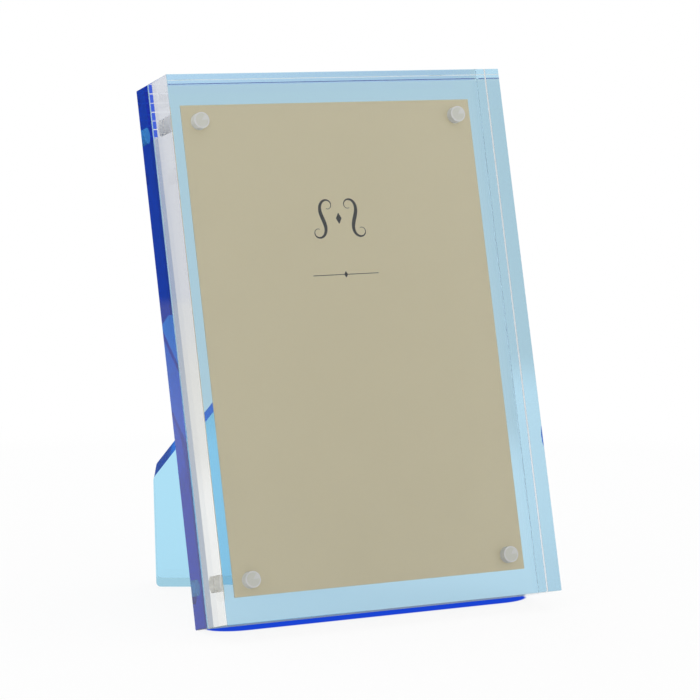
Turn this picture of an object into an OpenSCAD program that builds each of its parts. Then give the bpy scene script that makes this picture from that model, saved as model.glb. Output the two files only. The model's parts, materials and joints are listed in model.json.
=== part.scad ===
// Block photo frame of solid acrylic. A thick clear block and a thinner tinted
// block hold a card between them by four pairs of magnets, and a tapered plate
// cemented slantwise to the back stands the frame upright or on its long side.
// The frame faces -Y and leans back. The origin is on the table, under the
// middle of the whole object.

/* [Photo card] */
// Width of the photo or card
photo_w = 101.6; // [92:0.1:130]
// Height of the photo or card
photo_h = 152.4; // [135:0.1:190]
// Thickness of the card
card_t = 0.4; // [0.2:0.05:1.5]
// Air between the card and each block
card_play = 0.05; // [0.02:0.01:0.2]

/* [Blocks] */
// Acrylic to the left and right of the card
margin_side = 7.6; // [5:0.1:16]
// Acrylic under the card
margin_bottom = 8.3; // [5:0.1:20]
// Acrylic above the card
margin_top = 8; // [5:0.1:20]
// Thickness of the clear front block
front_t = 14.2; // [8:0.1:25]
// Thickness of the tinted rear block
rear_t = 9.2; // [6:0.1:20]
// Fine chamfer round the front face and down the clear block's corners
front_chamfer = 0.15; // [0.05:0.05:1.5]
// Finer chamfer round the two faces that meet
joint_chamfer = 0.1; // [0.05:0.05:0.8]
// Fine chamfer round the back face and down the tinted block's corners
back_chamfer = 0.2; // [0.05:0.05:1.5]
// How far the frame leans back from upright, in degrees
lean = 14.5; // [10:0.1:20]

/* [Magnets] */
// Diameter of each magnet
magnet_d = 5; // [3:0.1:8]
// Length of each magnet
magnet_l = 4; // [2:0.1:5]
// Chamfer round both ends of a magnet
magnet_rim = 0.3; // [0.1:0.05:0.6]
// From each magnet's centre to the two nearest edges of the blocks
magnet_inset = 13.2; // [9:0.1:20]

/* [Cement] */
// Film of cement round a magnet in its hole, and between the stand and the back
cement_t = 0.06; // [0.02:0.01:0.15]

/* [Stand] */
// Thickness of the stand's plate
stand_t = 10.8; // [6:0.1:14]
// How far the stand's point reaches behind the back face, square to that face
stand_reach = 66.4; // [50:0.1:80]
// Width of the stand across the shoulders of its foot
foot_w = 55; // [40:0.5:70]
// How much each side of the stand opens out towards the frame, in degrees
flare = 8.4; // [0:0.1:12]
// Radius of the foot's point
point_r = 1.5; // [0.5:0.1:6]
// Radius of the foot's two shoulders
shoulder_r = 3; // [0.5:0.1:8]
// Radius of the two corners at the stand's root
root_r = 18; // [1:0.5:22]

/* [Hidden] */
$fn = 64;
cut = 1; // overrun of every cut
arc_steps = 8; // facets of a rounded corner

block_w = photo_w + 2*margin_side;
block_h = photo_h + margin_bottom + margin_top;
gap_t = card_t + 2*card_play;

// Depths in the upright frame, whose back face lies in y = 0
rear_y = 0;
rear_joint_y = rear_y - rear_t;
front_joint_y = rear_joint_y - gap_t;
front_y = front_joint_y - front_t;

bore_d = magnet_d + 2*cement_t;
bore_l = magnet_l + cement_t;

// The plate is turned half a right angle on the back. At this angle to the
// back its under face meets the table in two lines square to each other, one
// for each way that the frame can stand, and the lean is the same both ways.
turn = 45;
stand_angle = 2*atan(sqrt(2)*tan(lean));
// The frame rests on the lower edge of its back chamfer, so the table passes
// that edge and the stand's point
point_z = (stand_reach + back_chamfer)*tan(lean);
shoulder = foot_w/2;
root = (stand_reach + stand_t*cos(stand_angle))/sin(stand_angle);
root_half_w = shoulder + (root - shoulder)*tan(flare);

function unit(v) = v/norm(v);

// Points of one rounded corner of an outline that runs anticlockwise
function rounded(before, corner, after, r) =
    let (
        back = unit(before - corner),
        ahead = unit(after - corner),
        half = acos(back*ahead)/2,
        centre = corner + unit(back + ahead)*r/sin(half),
        first = corner + back*r/tan(half) - centre,
        start = atan2(first[1], first[0]),
        sweep = 180 - 2*half
    )
    [for (i = [0 : arc_steps])
        let (a = start + sweep*i/arc_steps) centre + r*[cos(a), sin(a)]];

// The stand's plate laid flat: its point at the origin, its root along +Y
foot_right = [shoulder, shoulder];
foot_left = [-shoulder, shoulder];
root_right = [root_half_w, root];
root_left = [-root_half_w, root];
stand_outline = concat(
    rounded(foot_left, [0, 0], foot_right, point_r),
    rounded([0, 0], foot_right, root_right, shoulder_r),
    rounded(foot_right, root_right, root_left, root_r),
    rounded(root_right, root_left, foot_left, root_r),
    rounded(root_left, foot_left, [0, 0], shoulder_r)
);

// How far back a point of the plate's rear face lies once the frame leans.
// across runs over the plate's width and along runs up to its root.
function leaned_y(across, along) =
    let (
        y = stand_reach - along*sin(stand_angle) + stand_t*cos(stand_angle),
        z = point_z + (across + along*cos(stand_angle) + stand_t*sin(stand_angle))*sin(turn)
    )
    y*cos(lean) + z*sin(lean);

last_y = max([for (p = stand_outline) leaned_y(p[0], p[1])]);
first_y = front_y*cos(lean) + front_chamfer*sin(lean);
middle_y = (first_y + last_y)/2;
lowest_z = back_chamfer*sin(lean);

// Leans the upright frame back on the table, over the origin
module leaned() {
    translate([0, -middle_y, -lowest_z]) rotate([-lean, 0, 0]) children();
}

// Rectangle with its corners cut off, by one size along its low edge and by
// another along its high edge
module cut_corners(w, h, low, high) {
    polygon([
        [low, 0], [w - low, 0], [w, low], [w, h - high],
        [w - high, h], [high, h], [0, h - high], [0, low]
    ]);
}

// Block that stands on z = 0 with its front in y = 0. One cut goes round its
// front face and another round its back face, the larger of them also down its
// corners.
module block(t, front_cut, back_cut) {
    corner_cut = max(front_cut, back_cut);
    translate([-block_w/2, 0, 0]) intersection() {
        linear_extrude(block_h) cut_corners(block_w, t, front_cut, back_cut);
        translate([block_w, 0, 0]) rotate([0, -90, 0])
            linear_extrude(block_w) cut_corners(block_h, t, front_cut, back_cut);
        translate([0, t, 0]) rotate([90, 0, 0])
            linear_extrude(t) cut_corners(block_w, block_h, corner_cut, corner_cut);
    }
}

// Centre of one magnet on the joint, with side -1 or 1 and level 0 or 1
function magnet_place(side, level) = [
    side*(block_w/2 - magnet_inset),
    level == 0 ? magnet_inset : block_h - magnet_inset
];

// Puts its children at all four magnet places, at the given depth
module at_magnets(y) {
    for (side = [-1, 1], level = [0, 1]) {
        p = magnet_place(side, level);
        translate([p[0], y, p[1]]) children();
    }
}

module front_block() {
    color([0.90, 0.94, 0.96, 0.45]) leaned() difference() {
        translate([0, front_y, 0]) block(front_t, front_chamfer, joint_chamfer);
        at_magnets(front_joint_y - bore_l)
            rotate([-90, 0, 0]) cylinder(d = bore_d, h = bore_l + cut);
    }
}

module rear_block() {
    color([0.20, 0.50, 0.86, 0.60]) leaned() difference() {
        translate([0, rear_joint_y, 0]) block(rear_t, joint_chamfer, back_chamfer);
        at_magnets(rear_joint_y - cut)
            rotate([-90, 0, 0]) cylinder(d = bore_d, h = bore_l + cut);
    }
}

module photo_card() {
    color([0.73, 0.69, 0.58]) leaned()
        translate([-photo_w/2, front_joint_y + card_play, margin_bottom])
            cube([photo_w, card_t, photo_h]);
}

module stand_plate() {
    trim = root + root_half_w; // wide enough to trim the whole root
    color([0.20, 0.50, 0.86, 0.60]) leaned() difference() {
        translate([point_z - block_w/2, stand_reach, point_z])
            rotate([0, turn, 0]) rotate([stand_angle, 0, 0]) rotate([90, 0, 180])
                linear_extrude(stand_t) polygon(stand_outline);
        // the root is bevelled to lie flat on the back, in its film of cement
        translate([-trim, rear_y + cement_t - 2*stand_t, -trim])
            cube([2*trim, 2*stand_t, 2*trim]);
    }
}

// A magnet that points along +Y from y = 0
module magnet() {
    r = magnet_d/2;
    rotate([-90, 0, 0]) rotate_extrude() polygon([
        [0, 0], [r - magnet_rim, 0], [r, magnet_rim],
        [r, magnet_l - magnet_rim], [r - magnet_rim, magnet_l], [0, magnet_l]
    ]);
}

// Each magnet is flush with its block's joint face
module front_magnet(side, level) {
    p = magnet_place(side, level);
    color([0.80, 0.80, 0.78]) leaned()
        translate([p[0], front_joint_y - magnet_l, p[1]]) magnet();
}

module rear_magnet(side, level) {
    p = magnet_place(side, level);
    color([0.80, 0.80, 0.78]) leaned()
        translate([p[0], rear_joint_y, p[1]]) magnet();
}

front_block();
rear_block();
photo_card();
stand_plate();
front_magnet(-1, 1);  // front_magnet_top_left
front_magnet(1, 1);  // front_magnet_top_right
front_magnet(-1, 0);  // front_magnet_bottom_left
front_magnet(1, 0);  // front_magnet_bottom_right
rear_magnet(-1, 1);  // rear_magnet_top_left
rear_magnet(1, 1);  // rear_magnet_top_right
rear_magnet(-1, 0);  // rear_magnet_bottom_left
rear_magnet(1, 0);  // rear_magnet_bottom_right
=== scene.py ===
# Looks of a block photo frame: a thick clear block and a thinner blue one hold a
# card between them with magnets, and a blue plate cemented to the back props it up.
import json
import math

import bmesh
import bpy
from mathutils import Euler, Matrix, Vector


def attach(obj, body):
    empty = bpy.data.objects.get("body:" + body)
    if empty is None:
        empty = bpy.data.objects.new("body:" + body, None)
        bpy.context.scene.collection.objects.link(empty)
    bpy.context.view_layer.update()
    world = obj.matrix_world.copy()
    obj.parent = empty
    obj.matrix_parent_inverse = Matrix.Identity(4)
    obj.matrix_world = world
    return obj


mm = 0.001

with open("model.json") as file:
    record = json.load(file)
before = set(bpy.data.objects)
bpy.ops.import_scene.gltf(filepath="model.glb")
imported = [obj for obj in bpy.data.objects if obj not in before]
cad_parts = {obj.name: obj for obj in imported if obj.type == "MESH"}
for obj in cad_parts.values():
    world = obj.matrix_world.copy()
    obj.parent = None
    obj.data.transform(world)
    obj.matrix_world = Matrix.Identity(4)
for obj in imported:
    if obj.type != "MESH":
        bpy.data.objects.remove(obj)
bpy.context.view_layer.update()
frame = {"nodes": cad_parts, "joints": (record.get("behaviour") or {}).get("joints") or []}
nodes = frame["nodes"]
print("frame loaded with", len(nodes), "nodes")

# the frame leans, so places on it are measured along these three directions
faceOut = Vector(frame["joints"][0]["axis"]).normalized()
across = Vector((1, 0, 0))
upward = faceOut.cross(across)


def span(node, direction):
    # how far a node reaches along a direction, as its lowest and highest place
    places = [v.co.dot(direction) for v in nodes[node].data.vertices]
    return min(places), max(places)


def middle(node, direction):
    return sum(span(node, direction)) / 2


class Wire:
    # an output socket, on which shader maths is written as sums
    def __init__(self, sheet, socket):
        self.sheet = sheet
        self.socket = socket

    def output(self, name):
        return Wire(self.sheet, self.socket.node.outputs[name])

    def __add__(self, other):
        return self.sheet.maths("ADD", self, other)

    def __radd__(self, other):
        return self.sheet.maths("ADD", other, self)

    def __sub__(self, other):
        return self.sheet.maths("SUBTRACT", self, other)

    def __rsub__(self, other):
        return self.sheet.maths("SUBTRACT", other, self)

    def __mul__(self, other):
        return self.sheet.maths("MULTIPLY", self, other)

    def __rmul__(self, other):
        return self.sheet.maths("MULTIPLY", other, self)

    def __pow__(self, other):
        return self.sheet.maths("POWER", self, other)

    def __lt__(self, other):
        return self.sheet.maths("LESS_THAN", self, other)

    def __gt__(self, other):
        return self.sheet.maths("GREATER_THAN", self, other)

    def __abs__(self):
        return self.sheet.maths("ABSOLUTE", self)


class Sheet:
    # the node tree of one material or of the world
    def __init__(self, owner):
        owner.use_nodes = True
        self.owner = owner
        self.tree = owner.node_tree
        self.tree.nodes.clear()

    def add(self, kind, settings=None, inputs=None):
        # settings are set first, because they decide which sockets there are
        node = self.tree.nodes.new("ShaderNode" + kind)
        for name, value in (settings or {}).items():
            setattr(node, name, value)
        for name, value in (inputs or {}).items():
            socket = self.pick(node.inputs, name)
            if isinstance(value, Wire):
                self.tree.links.new(value.socket, socket)
            else:
                socket.default_value = value
        shown = [socket for socket in node.outputs if socket.enabled]
        return Wire(self, shown[0]) if shown else None

    def pick(self, sockets, name):
        if isinstance(name, int):
            return sockets[name]
        return next(socket for socket in sockets if socket.name == name and socket.enabled)

    def maths(self, operation, *values):
        return self.add("Math", {"operation": operation}, dict(enumerate(values)))

    def along(self, spot, direction):
        return self.add(
            "VectorMath", {"operation": "DOT_PRODUCT"}, {0: spot, 1: tuple(direction)}
        )

    def place(self, direction):
        # how far the shaded point lies along a direction of the object at rest
        return self.along(self.add("TexCoord").output("Object"), direction)

    def ramp(self, value, low, high):
        # rises smoothly from 0 at low to 1 at high
        return self.add(
            "MapRange", {"interpolation_type": "SMOOTHSTEP"},
            {"Value": value, "From Min": low, "From Max": high},
        )

    def mix(self, factor, first, second):
        first = (*first, 1) if isinstance(first, tuple) else first
        second = (*second, 1) if isinstance(second, tuple) else second
        return self.add(
            "Mix", {"data_type": "RGBA"}, {"Factor": factor, "A": first, "B": second}
        )

    def noise(self, scale, detail=3, stretch=(1, 1, 1)):
        spot = self.add("TexCoord").output("Object")
        spot = self.add("VectorMath", {"operation": "MULTIPLY"}, {0: spot, 1: stretch})
        return self.add("TexNoise", {}, {"Vector": spot, "Scale": scale, "Detail": detail})


def newSheet(name):
    return Sheet(bpy.data.materials.new(name))


def dress(node, sheet):
    # gives a node of the frame its material
    slots = nodes[node].data.materials
    slots.clear()
    slots.append(sheet.owner)


# where the magnets are, which is also where the blocks have their holes
magnetSide = middle("front_magnet_top_right", across)
magnetTop = middle("front_magnet_top_right", upward)
magnetBottom = middle("front_magnet_bottom_right", upward)
magnetRadius = magnetSide - span("front_magnet_top_right", across)[0]

# the middle of the gap between the blocks, in which the card lies
jointDepth = (span("front_block", faceOut)[0] + span("rear_block", faceOut)[1]) / 2


def besideMagnet(sheet):
    # place sideways and upwards from the axis of the nearest pair of magnets
    side = sheet.place(across)
    height = sheet.place(upward) - (magnetTop + magnetBottom) / 2
    side = side - sheet.maths("SIGN", side) * magnetSide
    height = height - sheet.maths("SIGN", height) * ((magnetTop - magnetBottom) / 2)
    return side, height


def fromMagnetAxis(sheet):
    side, height = besideMagnet(sheet)
    return (side * side + height * height) ** 0.5


# camera, fitted to the corners of the blocks in the photograph
cameraLook = {
    "place": (-0.448454, -0.886205, 0.200675),
    "turnDegrees": 27.2989,  # to the right of straight ahead
    "tiltDegrees": 6.9076,  # below level
    "lens": 161.14,
    "sensor": 36,
}


def makeCamera(look):
    data = bpy.data.cameras.new("camera")
    data.lens = look["lens"]
    data.sensor_width = look["sensor"]
    camera = bpy.data.objects.new("camera", data)
    camera.location = look["place"]
    camera.rotation_euler = Euler((
        math.radians(90 - look["tiltDegrees"]), 0, -math.radians(look["turnDegrees"])
    ))
    bpy.context.scene.collection.objects.link(camera)
    bpy.context.scene.camera = camera


makeCamera(cameraLook)
print("camera made")

# acrylic: absorption is the light lost in a millimetre of red, green and blue
clearAcrylic = {
    "index": 1.50,
    "scraped": 0.35,  # roughness of the upright chamfers
    "chamfer": 0.145 * mm,
    "absorption": (0.0007, 0.0006, 0.0007),
}
blueAcrylic = {
    "index": 1.49,
    "scraped": 1.0,
    "chamfer": 0.19 * mm,
    "absorption": (0.067, 0.0240, 0.0062),
}
blueStand = {
    "index": 1.49,
    "sawn": 0.12,  # roughness of the narrow faces
    "broadDepth": 0.01 * mm,  # what lies less deep than this is on a broad face
    "absorption": (0.074, 0.022, 0.0036),
}
densityMargin = 1.05  # keeps every colour of absorption above black
holes = {
    "clearance": 0.15 * mm,  # past the magnet's radius, so that the wall is inside
    "depth": 4.4 * mm,  # from the middle of the joint
    "roughness": 0.6,  # of the cement on their walls
}
standRoot = {
    "thickness": 0.01 * mm,  # of the slice whose corners give the root's outline
    "reach": 0.15 * mm,  # how near the root's plane a face has to be
    "trim": 0.15 * mm,  # how far inside the outline the cement ends
    "directions": 8,  # in which the outline is measured
}


def fromFace(sheet, node, direction):
    # depth below the nearer of a node's two faces that lie across a direction
    low, high = span(node, direction)
    return (high - low) / 2 - abs(sheet.place(direction) - (low + high) / 2)


def inHole(sheet):
    nearAxis = fromMagnetAxis(sheet) < magnetRadius + holes["clearance"]
    return nearAxis * (abs(sheet.place(faceOut) - jointDepth) < holes["depth"])


def blockRoughness(sheet, node, look):
    onChamfer = (fromFace(sheet, node, across) < look["chamfer"]) * (
        fromFace(sheet, node, faceOut) < look["chamfer"]
    )
    return onChamfer * look["scraped"]


def standRoughness(sheet, node, look):
    # the plate's broad faces are polished and its narrow ones only sawn
    broad = max(nodes[node].data.polygons, key=lambda face: face.area)
    polished = fromFace(sheet, node, broad.normal) < look["broadDepth"]
    return (1 - polished) * look["sawn"]


def atStandRoot(sheet, look):
    # 1 where the stand is cemented to the back
    depth = span("stand_plate", faceOut)[1]
    root = [
        v.co for v in nodes["stand_plate"].data.vertices
        if v.co.dot(faceOut) > depth - look["thickness"]
    ]
    found = abs(sheet.place(faceOut) - depth) < look["reach"]
    for step in range(look["directions"]):
        turn = math.pi * step / look["directions"]
        direction = across * math.cos(turn) + upward * math.sin(turn)
        places = [spot.dot(direction) for spot in root]
        centre = (max(places) + min(places)) / 2
        half = (max(places) - min(places)) / 2 - look["trim"]
        found = found * (abs(sheet.place(direction) - centre) < half)
    return found


def makeAcrylic(name, look, node, findRoughness, film):
    sheet = newSheet(name)
    roughness = findRoughness(sheet, node, look)
    surface = sheet.add("BsdfPrincipled", {}, {
        "Base Color": (1, 1, 1, 1),
        "Roughness": roughness,
        "IOR": look["index"],
        "Transmission Weight": 1,
    })
    if film:
        # cement in the holes, whose colour holds the painted highlight of the magnet's end
        cement = sheet.add("BsdfPrincipled", {}, {
            "Base Color": cementColour(sheet, magnetLook, film),
            "Roughness": holes["roughness"],
            "IOR": 1,
        })
        surface = sheet.add("MixShader", {}, {0: inHole(sheet), 1: surface, 2: cement})
    if node != "front_block":
        # clear cement, which light crosses as if the two pieces were one
        joined = sheet.add("BsdfPrincipled", {}, {
            "Base Color": (1, 1, 1, 1), "Roughness": 0, "IOR": 1, "Transmission Weight": 1,
        })
        cemented = atStandRoot(sheet, standRoot)
        surface = sheet.add("MixShader", {}, {0: cemented, 1: surface, 2: joined})
    # Cycles takes density times one minus colour, in each metre
    perMetre = [a / mm for a in look["absorption"]]
    density = max(perMetre) * densityMargin
    inside = sheet.add("VolumeAbsorption", {}, {
        "Color": (*(1 - a / density for a in perMetre), 1),
        "Density": density,
    })
    sheet.add("OutputMaterial", {}, {"Surface": surface, "Volume": inside})
    return sheet


# nickel-plated magnets, bare on the joint and cemented into their holes elsewhere;
# depths are from the middle of the joint
magnetLook = {
    "colour": (0.86, 0.86, 0.82),
    "roughness": 0.42,
    "ringPitch": 0.12 * mm,
    "ringHeight": 0.004 * mm,
    "ringShare": 0.5,  # of the relief, against the specks
    "reliefStrength": 0.6,
    "speckScale": 2500,
    "speckRoughness": 0.15,  # how much the specks vary the roughness
    "cementRoughness": 0.3,  # how much the cement adds to it
    "bareDepth": 0.4 * mm,  # where the cement begins
    "endDepth": 4.15 * mm,  # past this the cement lies on the magnet's turned end
    "paintedRim": 0.45 * mm,  # width of the painted highlight ring at the edge of the turned end, which a painted highlight wedge joins
    "paintedWedge": (0.80, 0.97),  # cosines between which the painted highlight wedge ends
    "wedgeDirection": (0.87, 0.49),
    "paintedWedgeShine": 0.7,  # brightness of the painted wedge, against the painted ring's
    "streakScale": 700,
    "streakStretch": (1, 1, 0.3),
    "streakStrength": 0.7,
}
# the cement's colours along a magnet, on its turned end, in a streak, and as a painted
# highlight where that end would shine through
paleCement = {
    "side": (0.995, 0.995, 0.95),
    "end": (0.91, 0.915, 0.84),
    "streak": (0.86, 0.865, 0.785),
    "paintedSheen": (1.0, 1.0, 0.99),
}
blueCement = {
    "side": (0.30, 0.66, 1.0),
    "end": (0.30, 0.62, 1.0),
    "streak": (0.26, 0.58, 1.0),
    "paintedSheen": (0.34, 0.68, 1.0),
}


def cementColour(sheet, look, film):
    # streaky, with a painted highlight ring and wedge where the magnet's turned end would shine
    # through it
    side, height = besideMagnet(sheet)
    fromAxis = fromMagnetAxis(sheet)
    streaks = sheet.noise(look["streakScale"], stretch=look["streakStretch"])
    aim = side * look["wedgeDirection"][0] + height * look["wedgeDirection"][1]
    paintedWedge = sheet.ramp(sheet.maths("DIVIDE", aim, fromAxis), *look["paintedWedge"])
    paintedRim = sheet.ramp(fromAxis, magnetRadius - look["paintedRim"], magnetRadius - look["paintedRim"] / 2)
    onEnd = abs(sheet.place(faceOut) - jointDepth) > look["endDepth"]
    # painted highlight: the ring and the wedge brighten the cement's colour on the turned end
    paintedShine = sheet.maths("MAXIMUM", paintedWedge * look["paintedWedgeShine"], paintedRim) * onEnd
    plain = sheet.mix(onEnd, film["side"], film["end"])
    streaky = sheet.mix(streaks * look["streakStrength"], plain, film["streak"])
    return sheet.mix(paintedShine, streaky, film["paintedSheen"])


def makeNickel(name, look, film):
    sheet = newSheet(name)
    bare = abs(sheet.place(faceOut) - jointDepth) < look["bareDepth"]
    rings = sheet.maths("SINE", fromMagnetAxis(sheet) * (2 * math.pi / look["ringPitch"]))
    specks = sheet.noise(look["speckScale"])
    bump = sheet.add("Bump", {}, {
        "Height": rings * look["ringShare"] + specks,
        "Strength": look["reliefStrength"],
        "Distance": look["ringHeight"],
    })
    uneven = look["roughness"] + look["speckRoughness"] * (specks - 0.5)
    # the cement's colour holds a painted highlight on the magnet's turned end
    surface = sheet.add("BsdfPrincipled", {}, {
        "Base Color": sheet.mix(bare, cementColour(sheet, look, film), look["colour"]),
        "Metallic": bare,
        "Roughness": uneven + look["cementRoughness"] * (1 - bare),
        "Normal": bump,
    })
    sheet.add("OutputMaterial", {}, {"Surface": surface})
    return sheet


frontNickel = makeNickel("frontNickel", magnetLook, paleCement)
rearNickel = makeNickel("rearNickel", magnetLook, blueCement)
for name in nodes:
    if "front_magnet" in name:
        dress(name, frontNickel)
    if "rear_magnet" in name:
        dress(name, rearNickel)
print("magnets made")

for node, name, look, findRoughness, film in (
    ("front_block", "clearAcrylic", clearAcrylic, blockRoughness, paleCement),
    ("rear_block", "blueAcrylic", blueAcrylic, blockRoughness, blueCement),
    ("stand_plate", "blueStand", blueStand, standRoughness, None),
):
    dress(node, makeAcrylic(name, look, node, findRoughness, film))
print("acrylic made")

# beige insert card: matt board with a fine fibre
cardLook = {
    "colour": (0.90, 0.82, 0.565),
    "darkFibre": (0.84, 0.76, 0.51),
    "roughness": 0.85,
    "fibreScale": 1800,
    "fibreDetail": 4,
    "fibreStretch": (1, 1, 0.35),
    "fibreShare": 0.6,  # of the uneven colour, the rest of which is cloudy
    "fibreHeight": 0.02 * mm,
    "reliefStrength": 0.3,
    "cloudScale": 45,
    "cloudDetail": 2,
}


def makeCard(look):
    sheet = newSheet("cardBoard")
    fibre = sheet.noise(look["fibreScale"], look["fibreDetail"], look["fibreStretch"])
    cloud = sheet.noise(look["cloudScale"], look["cloudDetail"])
    uneven = fibre * look["fibreShare"] + cloud * (1 - look["fibreShare"])
    bump = sheet.add("Bump", {}, {
        "Height": fibre, "Strength": look["reliefStrength"], "Distance": look["fibreHeight"],
    })
    surface = sheet.add("BsdfPrincipled", {}, {
        "Base Color": sheet.mix(uneven, look["darkFibre"], look["colour"]),
        "Roughness": look["roughness"],
        "Normal": bump,
    })
    sheet.add("OutputMaterial", {}, {"Surface": surface})
    return sheet


dress("photo_card", makeCard(cardLook))
print("card made")

# printed ornament: two mirrored scrolls round a lozenge, over a rule with another
ornament = {
    "centre": (-0.7 * mm, 39 * mm),  # from the card's middle, to the right and up
    "scrollLength": 25 * mm,
    "scrollTurn": 5.6,  # radians that each end of a scroll curls through
    "scrollTilt": 1.22,  # radians from level at its middle
    "scrollSide": 5.6 * mm,
    "strokeWidth": 1.1 * mm,
    "hairWidth": 0.16 * mm,
    "lozenge": (2.0 * mm, 3.4 * mm),
    "rulePlace": (-0.35 * mm, 21.1 * mm),
    "ruleLength": 22.9 * mm,
    "ruleWidth": 0.22 * mm,
    "ruleLozenge": (1.3 * mm, 1.9 * mm),
    "proud": 0.02 * mm,
    "sunk": 0.01 * mm,
    "steps": 72,
    "ink": (0.030, 0.029, 0.024),
    "thinInk": (0.060, 0.058, 0.048),
    "roughness": 0.7,
}


def scrollPath(look, side):
    # an S whose bend grows evenly from its middle to both curled ends
    step = look["scrollLength"] / look["steps"]
    places = [Vector((0, 0))]
    for direction in (1, -1):
        spot = Vector((0, 0))
        run = []
        for i in range(look["steps"] // 2):
            share = (i + 0.5) * 2 / look["steps"]
            turn = look["scrollTilt"] + look["scrollTurn"] * share ** 2
            spot = spot + direction * step * Vector((math.cos(turn), math.sin(turn)))
            run.append(spot)
        places = places + run if direction == 1 else run[::-1] + places
    return [Vector((side * (p.x + look["scrollSide"]), p.y)) for p in places]


def addStroke(mesh, path, widths, look, place):
    # a flat closed ribbon along a path on the card, from its middle
    cardUp = middle("photo_card", upward)
    cardFace = span("photo_card", faceOut)[1]
    rows = []
    for i, spot in enumerate(path):
        ahead = path[min(i + 1, len(path) - 1)] - path[max(i - 1, 0)]
        aside = Vector((-ahead.y, ahead.x)).normalized() * widths[i] / 2
        row = []
        for edge in (spot + aside, spot - aside):
            flat = across * (edge.x + place[0]) + upward * (edge.y + place[1] + cardUp)
            row.append(mesh.verts.new(flat + faceOut * (cardFace + look["proud"])))
            row.append(mesh.verts.new(flat + faceOut * (cardFace - look["sunk"])))
        rows.append(row)
    for (a, b, c, d), (e, f, g, h) in zip(rows, rows[1:]):
        for face in ((a, c, g, e), (b, f, h, d), (a, e, f, b), (c, d, h, g)):
            mesh.faces.new(face)
    for a, b, c, d in (rows[0], rows[-1]):
        mesh.faces.new((a, b, d, c))


def makeOrnament(look):
    mesh = bmesh.new()
    for side in (1, -1):
        path = scrollPath(look, side)
        widths = [
            look["hairWidth"] + look["strokeWidth"] * math.sin(math.pi * i / (len(path) - 1)) ** 2
            for i in range(len(path))
        ]
        addStroke(mesh, path, widths, look, look["centre"])
    for (width, height), place in (
        (look["lozenge"], look["centre"]), (look["ruleLozenge"], look["rulePlace"]),
    ):
        path = [Vector((0, height * share)) for share in (-0.5, 0, 0.5)]
        addStroke(mesh, path, [look["hairWidth"], width, look["hairWidth"]], look, place)
    path = [Vector((look["ruleLength"] * share, 0)) for share in (-0.5, 0.5)]
    addStroke(mesh, path, [look["ruleWidth"]] * 2, look, look["rulePlace"])
    bmesh.ops.recalc_face_normals(mesh, faces=mesh.faces)
    data = bpy.data.meshes.new("card_ornament")
    mesh.to_mesh(data)
    mesh.free()
    piece = bpy.data.objects.new("card_ornament", data)
    bpy.context.scene.collection.objects.link(piece)
    sheet = newSheet("cardInk")
    soak = sheet.noise(cardLook["fibreScale"], cardLook["fibreDetail"])
    surface = sheet.add("BsdfPrincipled", {}, {
        "Base Color": sheet.mix(soak, look["ink"], look["thinInk"]),
        "Roughness": look["roughness"],
    })
    sheet.add("OutputMaterial", {}, {"Surface": surface})
    data.materials.append(sheet.owner)
    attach(piece, "card")


makeOrnament(ornament)
print("ornament made")

# plain studio, white to the camera and for the light that falls on things; glass and
# mirrors show the rest of the room: a greyer backdrop, bluish things on the camera's
# side, and a blue flag behind, which only mirrors show
studio = {
    "white": (1, 1, 1),
    "table": (0.98, 0.98, 0.98),
    "tableEdge": (0.42, 0.60),  # how far away the table gives way to the backdrop
    "tableSide": (0.24, 0.40),  # the same, to the right behind
    "sideDirection": (0.8, 0.6, 0),
    "backdrop": (0.80, 0.795, 0.78),
    "room": (0.30, 0.37, 0.50),
    "roomReach": (0, 0.9),  # cosines between which it takes over from the backdrop
    "panel": (0.04, 0.10, 0.80),
    "panelDirection": (0.4024, -0.9145, 0.0407),
    "panelWidth": (0.988, 0.994),  # cosines between which the panel ends
    "flag": (0.10, 0.22, 0.75),
    "flagDirection": (-0.1803, 0.9836, 0),
    "flagWidth": (0.84, 0.93),
    "flagShade": (0.50, 0.86),  # how far behind the table takes on its colour, in part
    "flagEdge": (0.88, 0.96),  # the same, for the rest
    "flagShare": 0.5,  # that each of the two adds
    "floorPaint": (0.95, 0.95, 0.95),
    "evenness": 0.90,  # share of the floor's look that no shadow reaches
    "glassEvenness": 0.75,  # the same, as glass and mirrors show it
    "fade": (0.08, 0.40),  # where the lit floor turns to plain white
    "floorRadius": 14,
    "floorCorners": 96,
}

# painted light: a blue patch painted into the floor's colour and glow, standing in for the light
# that the tinted block throws on the floor under itself
paintedBlueGlow = {
    "paint": (0.01, 0.04, 0.60),
    "light": (0.012, 0.066, 0.70),
    "mirrored": (0.24, 0.31, 0.48),  # painted shade of the floor there, as the blocks' under side mirrors it
    "depth": 7.0 * mm,  # how far it reaches ahead of the line of contact
    "back": 1.0 * mm,  # the same, behind that line
    "halfWidth": 45 * mm,
    "corner": 11.5 * mm,  # how far its rounded ends reach past that
    "shift": 1.5 * mm,  # its middle lies this far to the right
    "softness": 0.12,
}


def mirrored(path):
    # a refracted ray counts as glossy too
    return path.output("Is Glossy Ray") * (1 - path.output("Is Transmission Ray"))


def reflectedOnly(path):
    # a path from the camera by mirrors and glass only
    return (path.output("Diffuse Depth") < 0.5) * (1 - path.output("Is Camera Ray"))


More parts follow.
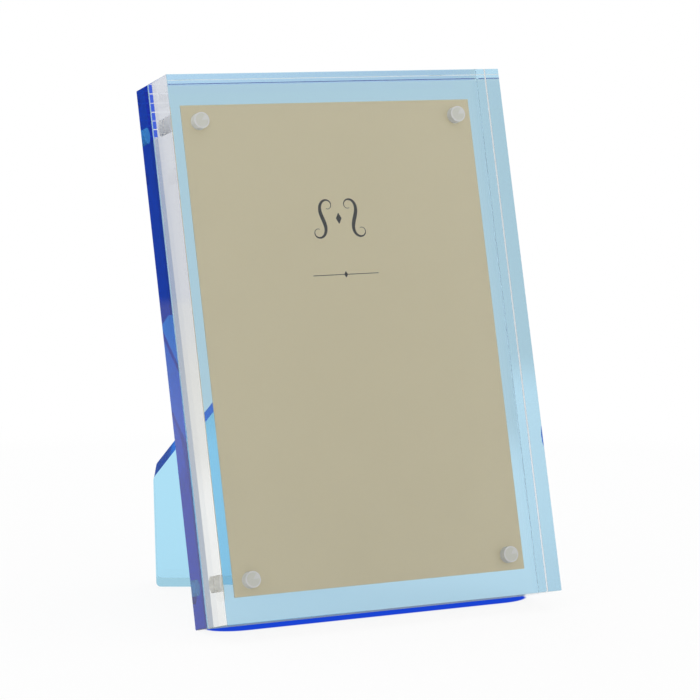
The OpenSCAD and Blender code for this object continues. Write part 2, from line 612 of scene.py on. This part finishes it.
def makeWorld(look):
    world = bpy.data.worlds.new("studio")
    bpy.context.scene.world = world
    sheet = Sheet(world)
    turn = math.radians(cameraLook["turnDegrees"])
    towardCamera = (-math.sin(turn), -math.cos(turn), 0)
    direction = sheet.add("TexCoord").output("Generated")
    path = sheet.add("LightPath")
    roomSide = sheet.ramp(sheet.along(direction, towardCamera), *look["roomReach"])
    panel = sheet.ramp(sheet.along(direction, look["panelDirection"]), *look["panelWidth"])
    flagged = sheet.ramp(sheet.along(direction, look["flagDirection"]), *look["flagWidth"])
    shown = sheet.mix(roomSide, look["backdrop"], look["room"])
    shown = sheet.mix(panel, shown, look["panel"])
    shown = sheet.mix(flagged * mirrored(path), shown, look["flag"])
    colour = sheet.mix(reflectedOnly(path), look["white"], shown)
    light = sheet.add("Background", {}, {"Color": colour, "Strength": 1})
    sheet.add("OutputWorld", {}, {"Surface": light})


def paintedGlowMask(sheet, spot, look):
    # 1 on the floor where the tinted block's light is painted, a strip with rounded ends
    contact = (
        upward.y * span("rear_block", upward)[0] + faceOut.y * span("rear_block", faceOut)[0]
    )
    behind = sheet.along(spot, (0, 1, 0)) - contact
    ahead = sheet.maths("MAXIMUM", behind * (-1 / look["depth"]), behind * (1 / look["back"]))
    aside = abs(sheet.along(spot, across) - look["shift"]) - look["halfWidth"]
    aside = sheet.maths("MAXIMUM", aside, 0) * (1 / look["corner"])
    reach = ahead * ahead + aside * aside
    return sheet.ramp(reach, 1 + look["softness"], 1 - look["softness"])


def makeFloor(look):
    sheet = newSheet("floorWhite")
    spot = sheet.add("NewGeometry").output("Position")
    away = sheet.add("VectorMath", {"operation": "LENGTH"}, {0: spot})
    path = sheet.add("LightPath")
    paintedGlowArea = paintedGlowMask(sheet, spot, paintedBlueGlow)
    behind = sheet.along(spot, look["flagDirection"])
    flagged = sheet.ramp(behind, *look["flagShade"]) + sheet.ramp(behind, *look["flagEdge"])
    beyond = sheet.maths(
        "MAXIMUM", sheet.ramp(away, *look["tableEdge"]),
        sheet.ramp(sheet.along(spot, look["sideDirection"]), *look["tableSide"]),
    )
    shown = sheet.mix(beyond, look["table"], look["backdrop"])
    shown = sheet.mix(flagged * look["flagShare"] * mirrored(path), shown, look["flag"])
    shown = sheet.mix(reflectedOnly(path), look["white"], shown)
    # under the tinted block the floor is painted: a painted shade in mirrors, and a glowing blue
    # patch and blue paint to the camera
    shown = sheet.mix(paintedGlowArea * mirrored(path), shown, paintedBlueGlow["mirrored"])
    shown = sheet.mix(paintedGlowArea * path.output("Is Camera Ray"), shown, paintedBlueGlow["light"])
    plain = sheet.add("Emission", {}, {"Color": shown})
    paint = sheet.mix(paintedGlowArea * path.output("Is Camera Ray"), look["floorPaint"], paintedBlueGlow["paint"])
    paint = sheet.add("BsdfDiffuse", {}, {"Color": paint})
    far = sheet.ramp(away, *look["fade"])
    even = path.output("Is Camera Ray") * look["evenness"]
    even = even + reflectedOnly(path) * look["glassEvenness"]
    even = sheet.maths("MAXIMUM", far, even)
    surface = sheet.add("MixShader", {}, {0: even, 1: paint, 2: plain})
    sheet.add("OutputMaterial", {}, {"Surface": surface})
    bpy.ops.mesh.primitive_circle_add(
        vertices=look["floorCorners"], radius=look["floorRadius"], fill_type="NGON"
    )
    floor = bpy.context.object
    floor.name = "floor"
    floor.data.materials.append(sheet.owner)


makeWorld(studio)
makeFloor(studio)
print("studio made")

# light crosses the blocks many times, so paths are long
bounces = 64
scene = bpy.context.scene
scene.view_settings.view_transform = "Standard"
scene.cycles.max_bounces = bounces
scene.cycles.glossy_bounces = bounces
scene.cycles.transmission_bounces = bounces
scene.cycles.caustics_reflective = True
scene.cycles.caustics_refractive = True
